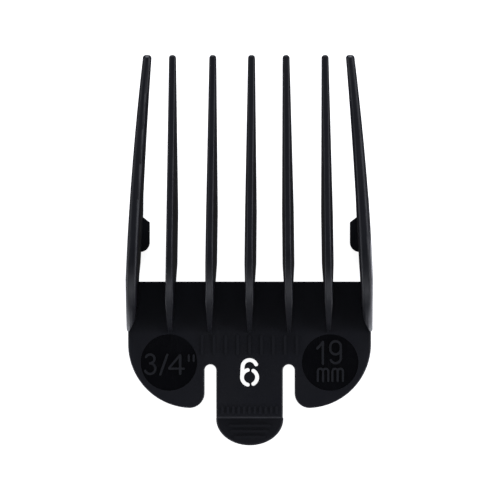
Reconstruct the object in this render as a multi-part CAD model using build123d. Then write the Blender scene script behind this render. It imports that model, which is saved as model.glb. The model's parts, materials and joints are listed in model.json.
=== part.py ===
from build123d import *
import os
from math import atan2, cos, degrees, hypot, radians, sin, sqrt

# A clipper guard comb, number 6, for a cut length of 19 mm.
# Millimetres. +Z points to the skin, +Y to the tooth tips, +X to the right seen from the skin side.
# z = 0 is the face of the plate that lies on the clipper blade. The origin is on the centre line.

# Plate and its rear lobes
plate_half_width = 23.58
plate_thickness = 1.8
plate_front_y = 8.06
lobe_radius = 12.4
lobe_centre_y = -4.07
lobe_corner_radius = 2.9
edge_round = 0.3
ledge_round = 0.6

# Slots that set the latch tongue free
slot_centre_x = 7.6
slot_width = 2.3
slot_top_y = -8.0

# Teeth
cut_length = 19.0
tooth_pitch = 7.7
tooth_lean = [0.86, 0.85, 0.55, -0.57, -0.83]
tooth_foot_width = 2.32
tooth_skin_width = 1.28
tooth_heel_width = 0.6
tooth_heel_front_y = 11.5
tooth_rear_y = 17.1
blade_edge_y = 21.5
tooth_tip_y = 51.4
tip_depth = 1.4
tip_round = 0.55
skin_edge_round = 0.35

# Side teeth, at the foot: they spread a little along the plate, then bow inwards to the tip
side_rear_x = 23.88
side_widest = (24.0, 8.5)
side_outer_bend = (23.08, 25.0)
side_outer_tip_x = 20.62
side_inner_rear_x = 21.9
side_inner_bend = (20.2, 30.0)
side_inner_tip_x = 18.5
side_heel = [(21.85, 3.2), (22.45, 0.0), (23.6, -1.85)]
side_skin_step = 0.5
side_skin_round = 0.7

# Blade cheeks and lugs
blade_thickness = 2.0
lug_thickness = 1.6
lug_tip_x = 19.5
lug_front_y = 20.6
lug_rear_y = 13.8
lug_slant = 1.0
lug_rear_round = 1.9
cheek_rear_y = 9.5
cheek_slope = 2.0
cheek_front_step = 3.5

# Latch
ledge_y = -18.55
catch_thickness = 1.6
barb_reach = 0.8
barb_lead_in = 0.6
barb_nose = 0.4
tab_half_width = 6.55
tab_length = 5.31
tab_ellipse_y = -18.69
tab_round = 0.4

# Number fields
disc_radius = 5.47
disc_centre = (15.64, -7.62)
disc_pocket_depth = 0.5
disc_recess = 0.12
mark_height = 0.25
mark_stroke = 0.45
stencil_stroke = 0.76

# Raised ribs. A row is its count, pitch, rear end, front end and width
rib_height = 0.3
plate_rib_row = (9, 2.3, -5.9, -2.6, 0.5)
tongue_rib_row = (11, 1.05, -17.4, -16.4, 0.45)
ridge_half_lengths = [3.9, 3.6, 2.9]
ridge_first_y = -20.0
ridge_pitch = 1.1
ridge_width = 0.45

# Worked out from the dimensions above
floor_z = -(blade_thickness + lug_thickness)
lobe_centre_x = plate_half_width - lobe_radius
tooth_rear_end_y = tooth_rear_y - sqrt(cut_length**2 - plate_thickness**2)
slot_inner_x = slot_centre_x - slot_width / 2
slot_outer_x = slot_centre_x + slot_width / 2
tongue_root_y = slot_top_y - slot_width / 2
lower_slope = (cut_length - tip_depth) / (tooth_tip_y - blade_edge_y)
disc_top_z = plate_thickness - disc_recess
SIDES = {"left": -1, "right": 1}


def raised(sketch, z, height):
    """A flat sketch lifted to z and made into a solid of the given height."""
    return extrude(Pos(0, 0, z) * sketch, amount=height)


def bar(x0, y0, x1, y1, width):
    """A straight stroke with round ends."""
    length = hypot(x1 - x0, y1 - y0)
    angle = degrees(atan2(y1 - y0, x1 - x0))
    middle = Pos((x0 + x1) / 2, (y0 + y1) / 2)
    return middle * Rot(0, 0, angle) * SlotCenterToCenter(length, width)


def arc(x, y, radius, start, end, width):
    """A round stroke with round ends, from one angle to another, counter-clockwise."""
    return SlotArc(CenterArc((x, y), radius, start, end - start), width)


def side_block(points_yz, half_length):
    """A solid of one side profile, given as (y, z) points, that spans the comb's width."""
    outline = Polyline(*[(0, y, z) for y, z in points_yz], close=True)
    return extrude(make_face(outline), amount=half_length, both=True)


def stencil_number():
    """The open strokes of the number, cut right through the tongue and the plate."""
    upper_radius, loop_radius = 1.36, 1.47
    upper_y, loop_y = -8.52, -10.52
    strokes = Sketch() + [
        arc(0, upper_y, upper_radius, 22, 180, stencil_stroke),
        bar(-upper_radius, upper_y, -loop_radius, loop_y, stencil_stroke),
        arc(0, loop_y, loop_radius, 104, 256, stencil_stroke),
        arc(0, loop_y, loop_radius, -60, 60, stencil_stroke),
    ]
    return raised(strokes, -1, plate_thickness + 2)


def half_outline():
    """The right half of the plate's rim: front corner, lobe, round lobe corner and slot head."""
    corner_x = slot_outer_x + lobe_corner_radius
    reach = lobe_radius - lobe_corner_radius
    corner_y = lobe_centre_y - sqrt(reach**2 - (corner_x - lobe_centre_x) ** 2)
    tangent_angle = atan2(corner_y - lobe_centre_y, corner_x - lobe_centre_x)
    middle_angle = tangent_angle / 2

    def on_lobe(angle):
        x = lobe_centre_x + lobe_radius * cos(angle)
        return (x, lobe_centre_y + lobe_radius * sin(angle))

    corner_angle = (tangent_angle - radians(180)) / 2
    corner_bend = (
        corner_x + lobe_corner_radius * cos(corner_angle),
        corner_y + lobe_corner_radius * sin(corner_angle),
    )
    return [
        Polyline((0, plate_front_y), (plate_half_width, plate_front_y), on_lobe(0)),
        ThreePointArc(on_lobe(0), on_lobe(middle_angle), on_lobe(tangent_angle)),
        ThreePointArc(on_lobe(tangent_angle), corner_bend, (slot_outer_x, corner_y)),
        Line((slot_outer_x, corner_y), (slot_outer_x, tongue_root_y)),
        ThreePointArc(
            (slot_outer_x, tongue_root_y),
            (slot_centre_x, slot_top_y),
            (slot_inner_x, tongue_root_y),
        ),
        Line((slot_inner_x, tongue_root_y), (0, tongue_root_y)),
    ]


def mirror_to(side, shape):
    """The right-hand shape itself, or its mirror image for the left."""
    return shape if side > 0 else mirror(shape, about=Plane.YZ)


def tooth_profile(lower_edge):
    """The side view of a tooth: its lower edge, the sloped tip, the skin line and the rear curve."""
    tip_low_z = cut_length - tip_depth
    start = lower_edge[0]
    lower = Polyline(*[(0, y, z) for y, z in lower_edge], (0, tooth_tip_y, tip_low_z))
    tip = Line((0, tooth_tip_y, tip_low_z), (0, tooth_tip_y, cut_length))
    skin = Line((0, tooth_tip_y, cut_length), (0, tooth_rear_y, cut_length))
    middle_angle = radians(135)
    bend = (
        0,
        tooth_rear_y + cut_length * cos(middle_angle),
        cut_length * sin(middle_angle),
    )
    rear_end = (0, tooth_rear_end_y, plate_thickness)
    rear = ThreePointArc((0, tooth_rear_y, cut_length), bend, rear_end)
    edges = [lower, tip, skin, rear]
    if start != (tooth_rear_end_y, plate_thickness):
        edges.append(Line(rear_end, (0, *start)))
    return extrude(make_face(Curve() + edges), amount=40, both=True)


def inner_tooth(index):
    """One inner tooth: a drafted fin, widest at the blade, that leans a little at its tip."""
    x = (index - 2) * tooth_pitch
    rear_y = tooth_rear_end_y - 1

    def outline(width, z):
        tip_x = x + tooth_lean[index]
        half = width / 2
        plan = Polyline(
            (x - half, rear_y),
            (x + half, rear_y),
            (tip_x + half, tooth_tip_y),
            (tip_x - half, tooth_tip_y),
            close=True,
        )
        return Pos(0, 0, z) * make_face(plan)

    blank = loft([outline(tooth_foot_width, 0), outline(tooth_skin_width, cut_length)], ruled=True)
    lower_edge = [
        (tooth_rear_end_y, plate_thickness),
        (plate_front_y, plate_thickness),
        (plate_front_y, 0),
        (blade_edge_y, 0),
    ]
    tooth = round_tip(blank & tooth_profile(lower_edge))
    left_edges, right_edges = skin_edges(tooth)
    tooth = fillet(left_edges + right_edges, skin_edge_round)
    return tooth - heel_cut(x, tooth_lean[index], 1) - heel_cut(x, tooth_lean[index], -1)


def heel_cut(x, lean, side):
    """The wedge off one flank of an inner tooth, which leaves its heel on the plate narrow."""
    heel_y = tooth_rear_end_y - 1
    share = (tooth_heel_front_y - heel_y) / (tooth_tip_y - heel_y)
    flank_x = x + lean * share + side * tooth_foot_width / 2
    wedge = Polyline(
        (flank_x, tooth_heel_front_y),
        (x + side * tooth_heel_width / 2, heel_y),
        (flank_x + side, heel_y),
        (flank_x + side, tooth_heel_front_y),
        close=True,
    )
    return raised(make_face(wedge), 0, cut_length)


def side_tooth(side):
    """An outer tooth: stouter, bowed inwards, with a cheek that reaches past the blade's edge."""

    def outline(shift, z):
        rear = (side_rear_x - shift, tooth_rear_end_y)
        widest = (side_widest[0] - shift, side_widest[1])
        bend = (side_outer_bend[0] - shift, side_outer_bend[1])
        tip = (side_outer_tip_x - shift, tooth_tip_y)
        inner_tip = (side_inner_tip_x, tooth_tip_y)
        inner_rear = (side_inner_rear_x, tooth_rear_end_y)
        plan = Curve() + [
            Line(rear, widest),
            ThreePointArc(widest, bend, tip),
            Line(tip, inner_tip),
            ThreePointArc(inner_tip, side_inner_bend, inner_rear),
            Line(inner_rear, rear),
        ]
        return Pos(0, 0, z) * make_face(plan)

    drafted = loft([outline(0, 0), outline(side_skin_step, cut_length)], ruled=True)
    cheek = extrude(outline(0, 0), amount=floor_z)
    lower_edge = [
        (tooth_rear_end_y, 0),
        (cheek_rear_y, 0),
        (cheek_rear_y + cheek_slope, floor_z),
        (blade_edge_y, floor_z),
        (blade_edge_y + cheek_front_step, cheek_front_step * lower_slope),
    ]
    tooth = round_tip((drafted + cheek) & tooth_profile(lower_edge))
    inner_edges, outer_edges = skin_edges(tooth)
    tooth = fillet(inner_edges + outer_edges, side_skin_round) - side_heel_cut()
    return mirror_to(side, tooth)


def side_heel_cut():
    """The round corner off the inside of a side tooth's heel."""
    start, bend, end = side_heel
    rear_y = end[1] - 2
    corner = Curve() + [
        ThreePointArc(start, bend, end),
        Polyline(end, (end[0], rear_y), (start[0] - 1, rear_y), (start[0] - 1, start[1]), start),
    ]
    return raised(make_face(corner), 0, cut_length)


def round_tip(tooth):
    """The tooth with the two upright corners of its tip rounded."""
    corners = [
        edge
        for edge in tooth.edges()
        if abs(edge.center().Y - tooth_tip_y) < 0.01 and edge.bounding_box().size.Z > tip_depth / 2
    ]
    return fillet(corners, tip_round)


def skin_edges(tooth):
    """The edges that bound the skin line and the rear curve: the low-X ones, then the high-X ones."""
    long_edges = ShapeList([edge for edge in tooth.edges() if edge.length > 10])
    straight = long_edges.filter_by(lambda edge: abs(edge.center().Z - cut_length) < 0.01)
    curved = long_edges.filter_by(
        lambda edge: edge.center().Z > cut_length / 2 and edge.center().Y < tooth_rear_y
    )
    straight = straight.sort_by(Axis.X)
    curved = curved.sort_by(Axis.X)
    return [straight[0], curved[0]], [straight[-1], curved[-1]]


def blade_lug(side):
    """A lug on the inner face of a cheek, slanted at its front end and round at its rear end."""
    root_x = side_inner_rear_x
    outline = Polyline(
        (root_x, lug_front_y),
        (side_inner_bend[0] + 0.6, lug_front_y),
        (lug_tip_x, lug_front_y - lug_slant),
        (lug_tip_x, lug_rear_y),
        (root_x, lug_rear_y),
        close=True,
    )
    lug = raised(make_face(outline), floor_z, lug_thickness)
    rear_corner = lug.edges().filter_by(Axis.Z).sort_by_distance((lug_tip_x, lug_rear_y, floor_z))
    lug = fillet(rear_corner[0], lug_rear_round)
    return mirror_to(side, lug)


def size_disc(side):
    """A round polished number field, let into the plate just under its surface."""
    x, y = disc_centre
    floor = plate_thickness - disc_pocket_depth
    disc = Pos(side * x, y) * Circle(disc_radius)
    return raised(disc, floor, disc_top_z - floor)


def disc_pocket(side):
    """The pocket in the plate that the number field fills."""
    x, y = disc_centre
    pocket = Pos(side * x, y) * Circle(disc_radius)
    return raised(pocket, plate_thickness - disc_pocket_depth, disc_pocket_depth + 1)


def inch_mark():
    """Raised strokes: a three, a slash, a four and an inch sign."""
    w = mark_stroke
    strokes = [
        arc(-3.66, 0.70, 0.86, 0, 155, w),
        arc(-3.66, 0.70, 0.86, -90, 0, w),
        arc(-3.66, -1.19, 1.03, 0, 90, w),
        arc(-3.66, -1.19, 1.03, 205, 360, w),
        bar(-0.32, 1.50, -1.66, -2.30, w),
        bar(2.10, 1.36, 0.05, -1.05, w * 0.9),
        bar(0.05, -1.19, 2.90, -1.19, w * 0.9),
        bar(2.18, 1.36, 2.18, -2.17, w * 1.1),
        bar(3.85, 1.38, 3.85, 0.30, w * 0.85),
        bar(4.80, 1.38, 4.80, 0.30, w * 0.85),
    ]
    x, y = disc_centre
    return raised(Pos(-x, y) * (Sketch() + strokes), disc_top_z, mark_height)


def letter_m(x, base_y, height, w):
    """A round-topped m whose first stem stands at x."""
    pitch = 1.02
    radius = pitch / 2
    shoulder_y = base_y + height - radius
    stems = [bar(x + i * pitch, base_y, x + i * pitch, shoulder_y, w) for i in range(3)]
    arches = [arc(x + (i + 0.5) * pitch, shoulder_y, radius, 0, 180, w) for i in range(2)]
    return stems + arches


def metric_mark():
    """Raised strokes: one, nine, and two letters m below."""
    w = mark_stroke
    base_y = -3.58
    strokes = [
        bar(-1.42, 3.98, -1.42, -0.24, w),
        bar(-2.50, 2.72, -1.42, 3.92, w),
        arc(1.05, 3.10, 1.02, 0, 180, w),
        bar(0.03, 3.10, 0.03, 2.60, w),
        arc(1.05, 2.60, 1.02, 180, 360, w),
        bar(2.07, 3.10, 2.07, 0.90, w),
        arc(1.05, 0.90, 1.02, 205, 360, w),
    ]
    strokes += letter_m(-2.40, base_y, 2.38, w * 0.9)
    strokes += letter_m(0.43, base_y, 2.38, w * 0.9)
    x, y = disc_centre
    return raised(Pos(x, y) * (Sketch() + strokes), disc_top_z, mark_height)


def rib_row(count, pitch, low_y, high_y, width):
    """A row of plain upright ribs on the plate's top face, centred on the comb."""
    ribs = []
    for i in range(count):
        x = (i - (count - 1) / 2) * pitch
        ribs.append(bar(x, low_y, x, high_y, width))
    return raised(Sketch() + ribs, plate_thickness, rib_height)


def tab_grip_ridges():
    """Three plain cross ridges on the thumb tab, shorter towards its round end."""
    ridges = []
    for i, half_length in enumerate(ridge_half_lengths):
        y = ridge_first_y - i * ridge_pitch
        ridges.append(bar(-half_length, y, half_length, y, ridge_width))
    return raised(Sketch() + ridges, -blade_thickness, rib_height)


def latch_tongue():
    """The tongue between the slots, as thick as the plate, with a round ledge at its end."""
    length = tongue_root_y - ledge_y
    field = Pos(0, ledge_y + length / 2) * Rectangle(2 * slot_inner_x, length)
    tongue = raised(field, 0, plate_thickness)
    top_edges = tongue.edges().group_by(Axis.Z)[-1]
    ledge = top_edges.sort_by(Axis.Y)[0]
    tongue = fillet(ledge, ledge_round)
    side_edges = [
        edge
        for edge in tongue.edges()
        if abs(edge.center().Z - plate_thickness) < 0.01 and abs(edge.center().X) > slot_inner_x - 0.01
    ]
    return fillet(side_edges, edge_round) - stencil_number()


def latch_catch():
    """The wall under the tongue's end, with a barb that snaps behind the blade."""
    front_y = ledge_y + catch_thickness
    return side_block(
        [
            (ledge_y, 0),
            (ledge_y, floor_z),
            (front_y, floor_z),
            (front_y + barb_reach, floor_z + barb_lead_in),
            (front_y + barb_reach, floor_z + barb_lead_in + barb_nose),
            (front_y, -blade_thickness),
            (front_y, 0),
        ],
        slot_inner_x,
    )


def release_tab():
    """The half-round thumb tab behind the catch, a flattened half ellipse."""
    ellipse = Pos(0, tab_ellipse_y) * Ellipse(tab_half_width, tab_length - (ledge_y - tab_ellipse_y))
    depth = 10
    field = Pos(0, ledge_y - depth / 2) * Rectangle(2 * tab_half_width, depth)
    tab = raised(ellipse & field, floor_z, lug_thickness)
    top_rim = [
        edge
        for edge in tab.edges()
        if abs(edge.center().Z + blade_thickness) < 0.01 and edge.center().Y < ledge_y - 0.01
    ]
    return fillet(top_rim, tab_round)


def base_plate(side_teeth):
    """The plate with its two lobes, less the number, the disc pockets and the side teeth."""
    half = Curve() + half_outline()
    outline = Curve() + [half, mirror(half, about=Plane.YZ)]
    plate = raised(make_face(outline), 0, plate_thickness)
    rim = [
        edge
        for edge in plate.edges()
        if abs(edge.center().Z - plate_thickness) < 0.01
        and edge.center().Y < lobe_centre_y
        and abs(edge.center().X) > slot_inner_x - 0.01
    ]
    plate = fillet(rim, edge_round) - stencil_number()
    for side in SIDES.values():
        plate -= disc_pocket(side)
    for tooth in side_teeth:
        plate -= tooth
    return plate


def main():
    os.makedirs("parts", exist_ok=True)
    nodes = {}
    for index in range(len(tooth_lean)):
        nodes[f"inner_tooth_{index + 1}"] = inner_tooth(index)
    for name, side in SIDES.items():
        nodes[f"side_tooth_{name}"] = side_tooth(side)
        nodes[f"blade_lug_{name}"] = blade_lug(side) - nodes[f"side_tooth_{name}"]
    nodes["base_plate"] = base_plate([nodes["side_tooth_left"], nodes["side_tooth_right"]])
    nodes["inch_size_disc"] = size_disc(SIDES["left"])
    nodes["metric_size_disc"] = size_disc(SIDES["right"])
    nodes["inch_size_mark"] = inch_mark()
    nodes["metric_size_mark"] = metric_mark()
    nodes["plate_ribs"] = rib_row(*plate_rib_row)
    nodes["tongue_ribs"] = rib_row(*tongue_rib_row)
    nodes["latch_tongue"] = latch_tongue()
    nodes["latch_catch"] = latch_catch()
    nodes["release_tab"] = release_tab()
    nodes["tab_grip_ridges"] = tab_grip_ridges()
    for name, shape in nodes.items():
        export_step(shape, f"parts/{name}.step")


main()
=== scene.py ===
"""Looks of the clipper guard comb: moulded black nylon, a glowing white floor, soft lights and the camera."""

import json
import math

import bmesh
import bpy
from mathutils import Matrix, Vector


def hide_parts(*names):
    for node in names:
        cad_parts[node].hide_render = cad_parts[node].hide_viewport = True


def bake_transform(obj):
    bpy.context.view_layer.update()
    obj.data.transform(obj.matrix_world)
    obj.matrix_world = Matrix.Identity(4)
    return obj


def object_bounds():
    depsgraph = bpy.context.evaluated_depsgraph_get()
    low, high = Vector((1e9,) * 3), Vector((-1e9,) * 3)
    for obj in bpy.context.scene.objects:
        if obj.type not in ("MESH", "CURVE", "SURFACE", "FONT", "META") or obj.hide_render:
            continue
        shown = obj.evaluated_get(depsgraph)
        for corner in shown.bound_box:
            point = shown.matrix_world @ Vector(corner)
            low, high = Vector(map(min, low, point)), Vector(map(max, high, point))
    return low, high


MM = 0.001

# Camera: a long lens over the comb, a little to its right
CAMERA_HEIGHT = 1000 * MM
CAMERA_SIDE = 10 * MM
CAMERA_RANGE = 10000 * MM
VIEW_WIDTH = 97.15 * MM
VIEW_CENTRE_X = 0.075 * MM
VIEW_CENTRE_Y = 14.2 * MM
SENSOR_MM = 36

# The studio light is a little cool
LIGHT_COLOUR = (0.95, 0.97, 1.06)
WORLD_STRENGTH = 0.04

# Softboxes, all aimed at the comb's middle: place in mm, width and height in mm, power in W
SOFTBOXES = {
    "front_softbox": ((0, 700, 300), (700, 300), 5.2),
    "rear_softbox": ((0, -700, 330), (700, 300), 1.0),
    "right_softbox": ((650, 0, 420), (300, 700), 1.55),
    "left_softbox": ((-650, 0, 420), (300, 700), 0.8),
    "right_low_strip": ((650, -400, 130), (500, 200), 1.2),
    "left_low_strip": ((-650, -400, 130), (500, 200), 1.2),
}

# Strips of table light beside the outer teeth and the lobes
GLOW_START_X = 24.3 * MM
GLOW_WIDTH = 60 * MM
GLOW_CENTRE_Y = -22 * MM
GLOW_LENGTH = 76 * MM
GLOW_RADIANCE = 1.1

# The floor lies a hair below the comb, so that no two faces share a plane
FLOOR_GAP = 0.02 * MM
FLOOR_HALF_WIDTH = 2000 * MM
FLOOR_WHITE = 0.85
FLOOR_ROUGHNESS = 0.9
FLOOR_GLOW = 0.95

# The tongue bends between its root, at the head of the slots, and this line
TONGUE_ROOT_Y = -9.15 * MM
TONGUE_STIFF_Y = -14 * MM
TONGUE_STRIPS = 24

# The rounding of the raised strokes' edges
STROKE_ROUND = 0.07 * MM
STROKE_ROUND_STEPS = 2
SHARP_ANGLE = math.radians(60)

# The range that most of a noise's values fall in
NOISE_SPAN = (0.3, 0.7)
BUMP_STRENGTH = 0.5

# The edge mask shows where the surface turns at an edge, as the cosine of that turn, and comes in patches; it
# paints a highlight into the colour and changes the roughness there
WEAR_AND_SHEEN_SAMPLES = 6
WEAR_AND_SHEEN_TURN = (0.99, 0.8)
WEAR_AND_SHEEN_PATCH_MM = 0.9
WEAR_AND_SHEEN_PATCH_SPAN = (0.35, 0.65)

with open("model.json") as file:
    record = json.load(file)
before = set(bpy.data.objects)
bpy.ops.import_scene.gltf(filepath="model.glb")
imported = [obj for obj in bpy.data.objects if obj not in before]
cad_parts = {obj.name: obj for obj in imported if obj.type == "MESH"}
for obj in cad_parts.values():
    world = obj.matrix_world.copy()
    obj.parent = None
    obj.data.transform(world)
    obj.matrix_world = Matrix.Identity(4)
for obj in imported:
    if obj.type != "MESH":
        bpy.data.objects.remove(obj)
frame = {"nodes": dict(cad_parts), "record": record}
cad_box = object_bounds()


class NylonMaterial:
    """A Principled material whose node chains are built step by step."""

    def __init__(self, name, specular=0.5):
        self.material = bpy.data.materials.new(name)
        self.material.use_nodes = True
        self.tree = self.material.node_tree
        self.shader = self.tree.nodes["Principled BSDF"]
        self.shader.inputs["Specular IOR Level"].default_value = specular
        self.coords = self.add("ShaderNodeTexCoord").outputs["Object"]

    def add(self, kind, **settings):
        """A new node with its properties set."""
        node = self.tree.nodes.new(kind)
        for key, value in settings.items():
            setattr(node, key, value)
        return node

    def link(self, output, node, socket):
        """Feeds an output into a node's input socket."""
        self.tree.links.new(output, node.inputs[socket])

    def noise(self, size_mm, detail=3, y_scale=1):
        """Noise with blobs about size_mm across, drawn out along the teeth where y_scale is below 1."""
        mapping = self.add("ShaderNodeMapping")
        mapping.inputs["Scale"].default_value = [scale / (size_mm * MM) for scale in (1, y_scale, 1)]
        self.link(self.coords, mapping, "Vector")
        node = self.add("ShaderNodeTexNoise")
        node.inputs["Scale"].default_value = 1
        node.inputs["Detail"].default_value = detail
        self.link(mapping.outputs["Vector"], node, "Vector")
        return node.outputs["Fac"]

    def cells(self, size_mm):
        """Distance to the nearest pit of a spark-eroded surface."""
        node = self.add("ShaderNodeTexVoronoi")
        node.inputs["Scale"].default_value = 1 / (size_mm * MM)
        self.link(self.coords, node, "Vector")
        return node.outputs["Distance"]

    def remap(self, value, source, target):
        """An output moved from its source range to a target range, and kept within it."""
        node = self.add("ShaderNodeMapRange")
        node.inputs["From Min"].default_value = source[0]
        node.inputs["From Max"].default_value = source[1]
        node.inputs["To Min"].default_value = target[0]
        node.inputs["To Max"].default_value = target[1]
        self.link(value, node, "Value")
        return node.outputs["Result"]

    def combine(self, operation, a, b):
        """Math on two outputs, or on an output and a number."""
        node = self.add("ShaderNodeMath", operation=operation)
        self.link(a, node, 0)
        if isinstance(b, (int, float)):
            node.inputs[1].default_value = b
        else:
            self.link(b, node, 1)
        return node.outputs["Value"]

    def mix_in(self, value, extra, share):
        """An output with a share of another one added."""
        return self.combine("ADD", value, self.combine("MULTIPLY", extra, share))

    def wear_and_sheen(self, reach_mm):
        """0 on open faces, and up to 1 in patches within reach_mm of an edge; in a colour it is a painted
        edge highlight, in a roughness a rubbed edge.
        """
        bevel = self.add("ShaderNodeBevel", samples=WEAR_AND_SHEEN_SAMPLES)
        bevel.inputs["Radius"].default_value = reach_mm * MM
        geometry = self.add("ShaderNodeNewGeometry")
        dot = self.add("ShaderNodeVectorMath", operation="DOT_PRODUCT")
        self.link(bevel.outputs["Normal"], dot, 0)
        self.link(geometry.outputs["Normal"], dot, 1)
        edge = self.remap(dot.outputs["Value"], WEAR_AND_SHEEN_TURN, (0, 1))
        patches = self.remap(self.noise(WEAR_AND_SHEEN_PATCH_MM), WEAR_AND_SHEEN_PATCH_SPAN, (0, 1))
        return self.combine("MULTIPLY", edge, patches)

    def set_colour(self, dark, light, share):
        """Base colour between two shades."""
        mix = self.add("ShaderNodeMixRGB")
        mix.inputs["Color1"].default_value = (*dark, 1)
        mix.inputs["Color2"].default_value = (*light, 1)
        self.link(share, mix, "Fac")
        self.link(mix.outputs["Color"], self.shader, "Base Color")

    def set_roughness(self, value):
        """Roughness from an output."""
        self.link(value, self.shader, "Roughness")

    def set_bumps(self, layers):
        """Stacked bumps, each a (height output, depth in mm) pair."""
        normal = None
        for height, depth_mm in layers:
            bump = self.add("ShaderNodeBump")
            bump.inputs["Strength"].default_value = BUMP_STRENGTH
            bump.inputs["Distance"].default_value = depth_mm * MM
            self.link(height, bump, "Height")
            if normal:
                self.link(normal, bump, "Normal")
            normal = bump.outputs["Normal"]
        self.link(normal, self.shader, "Normal")


def satin_nylon():
    """The plate and the latch: a fine spark-eroded grain with a few handling scuffs."""
    nylon = NylonMaterial("satin_nylon")
    cloud = nylon.noise(6, detail=4)
    speck = nylon.remap(nylon.noise(0.35, detail=2), NOISE_SPAN, (0.6, 1.4))
    scuff = nylon.remap(nylon.noise(1.1, detail=5, y_scale=0.08), (0.6, 0.72), (0, 1))
    # Painted highlight: the edge mask lightens the colour along the edges, and also smooths their roughness
    wear_and_sheen = nylon.wear_and_sheen(0.3)
    shade = nylon.mix_in(nylon.combine("MULTIPLY", cloud, speck), wear_and_sheen, 0.6)
    nylon.set_colour((0.0055, 0.006, 0.0095), (0.012, 0.013, 0.019), shade)
    roughness = nylon.remap(cloud, NOISE_SPAN, (0.5, 0.4))
    roughness = nylon.mix_in(roughness, wear_and_sheen, -0.12)
    nylon.set_roughness(nylon.mix_in(roughness, scuff, 0.05))
    sink = nylon.noise(5, detail=2)
    pits = nylon.cells(0.16)
    grain = nylon.noise(0.09)
    nylon.set_bumps([(sink, 0.12), (pits, 0.012), (grain, 0.012)])
    return nylon.material


def tooth_nylon():
    """The teeth and lugs: smoother, with faint flow lines along the teeth, and edges a little rougher and
    lightened by a painted highlight.
    """
    nylon = NylonMaterial("tooth_nylon")
    cloud = nylon.noise(5, detail=4)
    flow = nylon.noise(0.5, detail=4, y_scale=0.05)
    # Painted highlight: the edge mask lightens the colour along the edges, and also roughens them a little
    wear_and_sheen = nylon.wear_and_sheen(0.35)
    nylon.set_colour((0.0055, 0.006, 0.0085), (0.0125, 0.0133, 0.018), nylon.mix_in(cloud, wear_and_sheen, 0.3))
    roughness = nylon.remap(cloud, NOISE_SPAN, (0.44, 0.36))
    roughness = nylon.combine("ADD", roughness, nylon.remap(flow, (0.4, 0.7), (-0.03, 0.04)))
    nylon.set_roughness(nylon.mix_in(roughness, wear_and_sheen, 0.06))
    sink = nylon.noise(4, detail=2, y_scale=0.3)
    grain = nylon.noise(0.12)
    nylon.set_bumps([(sink, 0.06), (flow, 0.01), (grain, 0.008)])
    return nylon.material


def polished_nylon():
    """The number fields: polished and darker, with hairline scratches and a little dulling."""
    nylon = NylonMaterial("polished_nylon", specular=0.4)
    cloud = nylon.noise(3, detail=4)
    scratch = nylon.remap(nylon.noise(0.12, detail=2, y_scale=0.02), (0.62, 0.7), (0, 1))
    nylon.set_colour((0.002, 0.0022, 0.0036), (0.0036, 0.004, 0.006), cloud)
    nylon.set_roughness(nylon.mix_in(nylon.remap(cloud, NOISE_SPAN, (0.2, 0.3)), scratch, 0.12))
    sink = nylon.noise(3, detail=2)
    nylon.set_bumps([(sink, 0.03), (scratch, 0.001)])
    return nylon.material


def raised_mark():
    """Raised size numbers: satin, a little paler in patches where hands have rubbed them, with a painted
    highlight along the stroke edges.
    """
    nylon = NylonMaterial("raised_mark", specular=0.6)
    rub = nylon.noise(1.2, detail=4)
    # Painted highlight: the edge mask lightens the strokes' edges, on top of the paler patches
    shade = nylon.combine("ADD", rub, nylon.wear_and_sheen(0.12))
    nylon.set_colour((0.012, 0.0128, 0.017), (0.026, 0.0275, 0.034), shade)
    nylon.set_roughness(nylon.remap(rub, NOISE_SPAN, (0.48, 0.38)))
    nylon.set_bumps([(nylon.noise(0.15), 0.01)])
    return nylon.material


def raised_rib():
    """Raised ribs and ridges: about as dark as the plate, with grain, paler patches, and crests lightened by
    a painted highlight.
    """
    nylon = NylonMaterial("raised_rib")
    rub = nylon.noise(0.8, detail=4)
    # Painted highlight: the edge mask lightens the crests, on top of the paler patches
    shade = nylon.combine("ADD", rub, nylon.wear_and_sheen(0.2))
    nylon.set_colour((0.007, 0.0077, 0.011), (0.017, 0.018, 0.024), shade)
    nylon.set_roughness(nylon.remap(rub, NOISE_SPAN, (0.48, 0.4)))
    pits = nylon.cells(0.16)
    grain = nylon.noise(0.09)
    nylon.set_bumps([(pits, 0.012), (grain, 0.01)])
    return nylon.material


def make_finishes():
    """The material of each slot, under the slot's name."""
    makers = (satin_nylon, tooth_nylon, polished_nylon, raised_mark, raised_rib)
    return {maker.__name__: maker() for maker in makers}


def dress_nodes(finishes):
    """Gives each CAD node the material of its slot, and rounds the edges of the raised ones."""
    for part in frame["record"]["subparts"]:
        node = frame["nodes"][part["node"]]
        slot = part["material_slot"]
        node.data.materials.clear()
        node.data.materials.append(finishes[slot])
        if slot.startswith("raised"):
            soften_edges(node)


def soften_edges(node):
    """Rounds the edges of raised strokes, which are rubbed down first."""
    bevel = node.modifiers.new("worn_edges", "BEVEL")
    bevel.width = STROKE_ROUND
    bevel.segments = STROKE_ROUND_STEPS
    bevel.limit_method = "ANGLE"
    bevel.angle_limit = SHARP_ANGLE


def bending_tongue(finish):
    """The latch tongue as one skin: the CAD shape, cut across into fine strips between its root and its stiff
    part.
    """
    source = frame["nodes"]["latch_tongue"]
    tongue = bpy.data.objects.new("tongue_skin", source.data.copy())
    bpy.context.scene.collection.objects.link(tongue)
    mesh = bmesh.new()
    mesh.from_mesh(tongue.data)
    for i in range(1, TONGUE_STRIPS):
        y = TONGUE_ROOT_Y + (TONGUE_STIFF_Y - TONGUE_ROOT_Y) * i / TONGUE_STRIPS
        geometry = mesh.verts[:] + mesh.edges[:] + mesh.faces[:]
        bmesh.ops.bisect_plane(mesh, geom=geometry, plane_co=(0, y, 0), plane_no=(0, 1, 0))
    mesh.to_mesh(tongue.data)
    mesh.free()
    tongue.data.materials.clear()
    tongue.data.materials.append(finish)
    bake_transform(tongue)
    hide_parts("latch_tongue")


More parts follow.
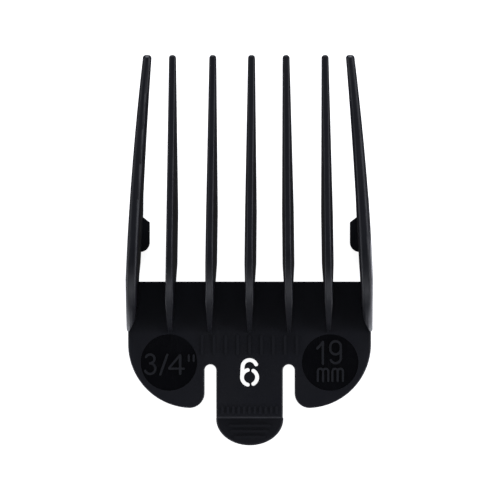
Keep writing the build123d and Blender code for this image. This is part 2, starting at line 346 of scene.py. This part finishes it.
def floor_material():
    """Matt white with a glow, like the top of a light table."""
    material = bpy.data.materials.new("floor_white")
    material.use_nodes = True
    shader = material.node_tree.nodes["Principled BSDF"]
    shader.inputs["Base Color"].default_value = (FLOOR_WHITE, FLOOR_WHITE, FLOOR_WHITE, 1)
    shader.inputs["Roughness"].default_value = FLOOR_ROUGHNESS
    shader.inputs["Emission Color"].default_value = (1, 1, 1, 1)
    shader.inputs["Emission Strength"].default_value = FLOOR_GLOW
    return material


def add_floor():
    """A plain white floor, far wider than the view."""
    half = FLOOR_HALF_WIDTH
    z = cad_box[0][2] - FLOOR_GAP
    corners = [(-half, -half, z), (half, -half, z), (half, half, z), (-half, half, z)]
    mesh = bpy.data.meshes.new("floor")
    mesh.from_pydata(corners, [], [(0, 1, 2, 3)])
    mesh.materials.append(floor_material())
    floor = bpy.data.objects.new("floor", mesh)
    bpy.context.scene.collection.objects.link(floor)
    # The comb mirrors the softboxes and the glow strips, and not the bright floor
    floor.visible_glossy = False


def add_area_light(name, place, size, power):
    """A rectangular light that shines downwards until it is turned."""
    light = bpy.data.lights.new(name, "AREA")
    light.shape = "RECTANGLE"
    light.size = size[0]
    light.size_y = size[1]
    light.energy = power
    light.color = LIGHT_COLOUR
    lamp = bpy.data.objects.new(name, light)
    lamp.location = place
    bpy.context.scene.collection.objects.link(lamp)
    return lamp


def add_softbox(name, place_mm, size_mm, power):
    """A large soft light that faces the comb's middle."""
    lamp = add_area_light(name, Vector(place_mm) * MM, Vector(size_mm) * MM, power)
    towards = Vector((0, VIEW_CENTRE_Y, 0)) - lamp.location
    lamp.rotation_euler = towards.to_track_quat("-Z", "Y").to_euler()


def add_edge_glow(side):
    """An upward strip beside an outer tooth, like light that spills off a white table."""
    place = (side * (GLOW_START_X + GLOW_WIDTH / 2), GLOW_CENTRE_Y, cad_box[0][2])
    power = GLOW_RADIANCE * math.pi * GLOW_WIDTH * GLOW_LENGTH
    lamp = add_area_light("edge_glow", place, (GLOW_WIDTH, GLOW_LENGTH), power)
    lamp.rotation_euler = (math.pi, 0, 0)
    lamp.visible_camera = False


def add_world():
    """Faint white light from all round."""
    world = bpy.data.worlds.new("studio")
    world.use_nodes = True
    background = world.node_tree.nodes["Background"]
    background.inputs["Color"].default_value = (1, 1, 1, 1)
    background.inputs["Strength"].default_value = WORLD_STRENGTH
    bpy.context.scene.world = world


def add_lights():
    """The softboxes, a glow strip on each side and the faint surroundings."""
    for name, (place_mm, size_mm, power) in SOFTBOXES.items():
        add_softbox(name, place_mm, size_mm, power)
    for side in (1, -1):
        add_edge_glow(side)
    add_world()


def add_camera():
    """Almost straight down on the plate from high above, with the tooth tips up."""
    data = bpy.data.cameras.new("camera")
    data.sensor_width = SENSOR_MM
    data.lens = SENSOR_MM * CAMERA_HEIGHT / VIEW_WIDTH
    data.clip_end = CAMERA_RANGE
    camera = bpy.data.objects.new("camera", data)
    camera.location = (CAMERA_SIDE, VIEW_CENTRE_Y, CAMERA_HEIGHT)
    camera.rotation_euler = (0, math.atan2(CAMERA_SIDE - VIEW_CENTRE_X, CAMERA_HEIGHT), 0)
    bpy.context.scene.collection.objects.link(camera)
    bpy.context.scene.camera = camera
    bpy.context.scene.view_settings.view_transform = "Standard"


finishes = make_finishes()
dress_nodes(finishes)
bending_tongue(finishes["satin_nylon"])
add_floor()
add_lights()
add_camera()
